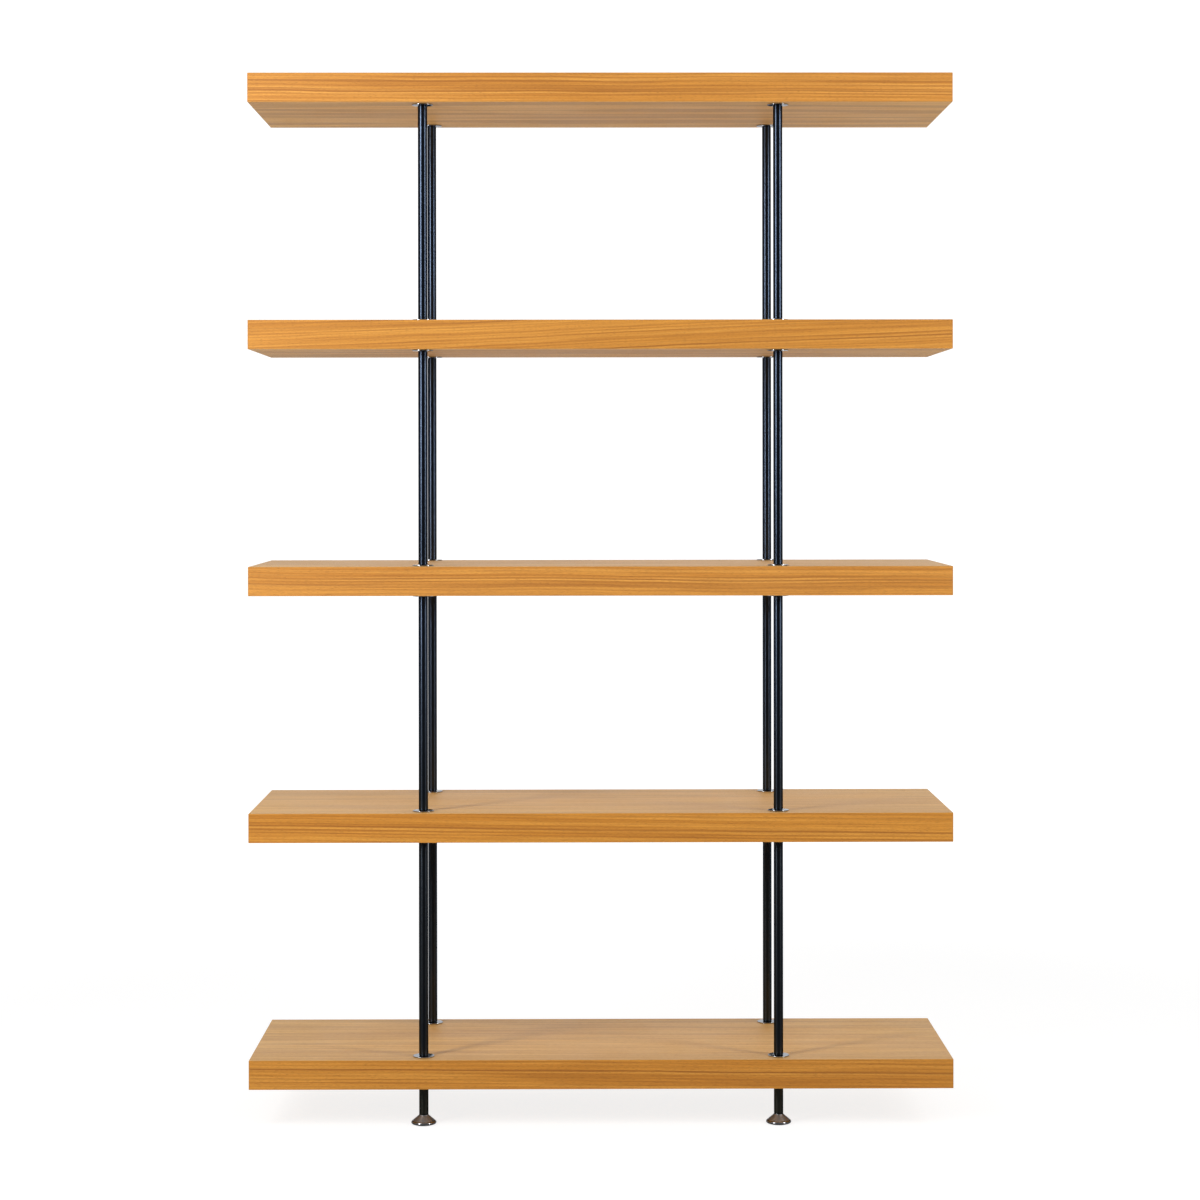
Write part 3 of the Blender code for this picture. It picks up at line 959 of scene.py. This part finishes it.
ZINC_PLATING = zinc_material()
stem_low, stem_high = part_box("foot_stem_front_right")
head_outline = [
    (0, stem_low.z),
    (HEAD_RADIUS, stem_low.z),
    (HEAD_RADIUS, stem_low.z + HEAD_THICKNESS),
    (0, stem_low.z + HEAD_THICKNESS),
]
thread_bottom = stem_low.z + HEAD_THICKNESS / 2
thread_length = stem_high.z - thread_bottom
values = {
    "Crest Radius": STUD_RADIUS,
    "Thread Depth": THREAD_DEPTH,
    "Pitch": THREAD_PITCH,
    "Runout": THREAD_RUNOUT,
    "Bottom": thread_bottom,
    "Length": thread_length,
    "Rings": round(thread_length / THREAD_PITCH * STEPS_PER_TURN),
    "Material": ZINC_PLATING,
}
stem = make_piece("stem_pattern", turned("head", eased(head_outline, RING_EASE)), thread_tree(), values)
stem_mesh = stem.data
bpy.data.objects.remove(stem)
for corner in CORNERS:
    on_foot(f"zinc_stem_{corner}", stem_mesh, corner, f"foot_stem_{corner}", ZINC_PLATING)


# Pads of the levelling feet
# Black nylon discs pressed into the caps. They stand a little below the rim, so only the nylon
# touches the floor.

PAD_RADIUS = (pad_high.x - pad_low.x) / 2
PAD_EASE = 0.0005

NYLON = (0.018, 0.018, 0.019, 1)
NYLON_GREY = (0.050, 0.049, 0.047, 1)
NYLON_ROUGHNESS = 0.52
NYLON_SMUDGES = 90.0  # per metre
NYLON_DULLING = 0.15
SKIN_RATE = 2500.0  # per metre
SKIN_RELIEF = 0.2
SKIN_DEPTH = 0.00005


def nylon_material():
    """Moulded black nylon with a fine matt skin and grey scuffs."""
    material, tree, shader = new_material("black nylon")
    smudge = smudges(tree, NYLON_SMUDGES)
    skin = {"Vector": place_on_piece(tree), "Scale": SKIN_RATE}
    skin = node(tree, "ShaderNodeTexNoise", skin).outputs[0]
    inputs = {
        "Base Color": lay_over(tree, smudge, NYLON, NYLON_GREY),
        "Roughness": work_out(tree, "MULTIPLY_ADD", smudge, NYLON_DULLING, NYLON_ROUGHNESS),
        "Normal": relief(tree, skin, SKIN_RELIEF, SKIN_DEPTH),
    }
    feed(tree, shader, inputs)
    return material


BLACK_NYLON = nylon_material()
pad_outline = [(0, pad_low.z), (PAD_RADIUS, pad_low.z), (PAD_RADIUS, pad_high.z), (0, pad_high.z)]
pad_mesh = turned("pad", eased(pad_outline, PAD_EASE))
for corner in CORNERS:
    on_foot(f"nylon_pad_{corner}", pad_mesh, corner, f"foot_pad_{corner}", BLACK_NYLON)


# Studio
# A wide pale floor under a white backdrop, and a tall softbox on either side in front of the bookcase.
# The room behind the camera is dim. The camera stands a little left of the middle, at breast height.

FLOOR_HALF = 20.0
WHITE = (1, 1, 1, 1)
PAPER = (0.92, 0.92, 0.92, 1)
STUDIO_GREY = (0.14, 0.14, 0.14, 1)
GREY_RISE = (0.20, -0.05)  # towards the camera, metal reflects a dim floor
PALE_RISE = (-0.3, 0.4, 0.0, 0.44)  # away from the camera, it reflects a pale one
FLOOR_SEEN = (0.24, 0.24, 0.24, 1)  # colour that the camera sees, which takes the shadow
GLOW_RISE = (1.4, 3.6, 0.83, 1.0)  # white that is added to it, by the distance from the bookcase
ROOM_RISE = (0.15, 0.50, 0.18, 0.40)  # light of the room, by how far a direction points up
CAMERA_SIDE_RISE = (-0.92, -0.45, 0.30, 1.0)  # dimmed behind the camera, by how far it points back
BACKDROP_RISE = (0.30, 0.85, 0.0, 0.95)  # light of the backdrop, by how far it points back
LAMPS = {
    "left_softbox": {"azimuth": -47, "distance": 2.5, "height": 2.0, "size": (0.42, 2.1), "power": 60},
    "right_softbox": {"azimuth": 58, "distance": 2.5, "height": 2.0, "size": (0.42, 2.1), "power": 42},
}
CAMERA_PLACE = (-0.02921, -4.82336, 1.11661)
CAMERA_YAW = 0.00604  # radians to the right
CAMERA_PITCH = -0.00324  # radians upwards
CAMERA_ROLL = 0.00119  # radians clockwise, seen from behind
CAMERA_LENS = 81.987  # millimetres, on a sensor 36 mm wide
CAMERA_SHIFT = -0.09935

floor_material, tree, shader = new_material("pale floor")
ways = node(tree, "ShaderNodeLightPath").outputs
place = place_on_piece(tree)
away = node(tree, "ShaderNodeVectorMath", {0: place}, operation="LENGTH").outputs["Value"]
back = split(tree, place)[1]
mirror = work_out(tree, "MAXIMUM", ways["Is Glossy Ray"], ways["Is Transmission Ray"])
bare = times(tree, mirror, grade(tree, back, *GREY_RISE))
mirrored = times(tree, mirror, grade(tree, back, *PALE_RISE))
seen = work_out(tree, "MAXIMUM", ways["Is Camera Ray"], mirrored)
inputs = {
    "Base Color": lay_over(tree, seen, lay_over(tree, bare, PAPER, STUDIO_GREY), FLOOR_SEEN),
    "Emission Color": WHITE,
    "Emission Strength": times(tree, seen, grade(tree, away, *GLOW_RISE)),
    "Roughness": 1.0,
    "Specular IOR Level": 0.0,
}
feed(tree, shader, inputs)

work = bmesh.new()
bmesh.ops.create_grid(work, x_segments=1, y_segments=1, size=FLOOR_HALF)
floor_mesh = bpy.data.meshes.new("floor")
work.to_mesh(floor_mesh)
work.free()
floor_mesh.materials.append(floor_material)
floor = make_piece("floor", floor_mesh)

world = bpy.data.worlds.new("studio")
bpy.context.scene.world = world
world.use_nodes = True
tree = world.node_tree
ways = node(tree, "ShaderNodeLightPath").outputs
back, up = split(tree, node(tree, "ShaderNodeTexCoord").outputs["Generated"])[1:]
room = times(tree, grade(tree, up, *ROOM_RISE), grade(tree, back, *CAMERA_SIDE_RISE))
level = work_out(tree, "ADD", room, grade(tree, back, *BACKDROP_RISE))
strength = work_out(tree, "MAXIMUM", level, ways["Is Camera Ray"])
feed(tree, tree.nodes["Background"], {"Color": WHITE, "Strength": strength})

for name, box in LAMPS.items():
    lamp = bpy.data.lights.new(name, "AREA")
    lamp.shape = "RECTANGLE"
    lamp.size, lamp.size_y = box["size"]
    lamp.energy = box["power"]
    stand = bpy.data.objects.new(name, lamp)
    bpy.context.scene.collection.objects.link(stand)
    azimuth = math.radians(box["azimuth"])
    stand.location = (
        box["distance"] * math.sin(azimuth),
        -box["distance"] * math.cos(azimuth),
        box["height"],
    )
    stand.rotation_euler = (math.pi / 2, 0, azimuth)
    stand.visible_camera = False

camera_data = bpy.data.cameras.new("camera")
camera_data.lens = CAMERA_LENS
camera_data.shift_y = CAMERA_SHIFT
camera = bpy.data.objects.new("camera", camera_data)
bpy.context.scene.collection.objects.link(camera)
turn = Matrix.Rotation(-CAMERA_YAW, 4, "Z") @ Matrix.Rotation(math.pi / 2 + CAMERA_PITCH, 4, "X")
turn = turn @ Matrix.Rotation(-CAMERA_ROLL, 4, "Z")
camera.matrix_world = Matrix.Translation(CAMERA_PLACE) @ turn
bpy.context.scene.camera = camera
bpy.context.scene.view_settings.view_transform = "Standard"
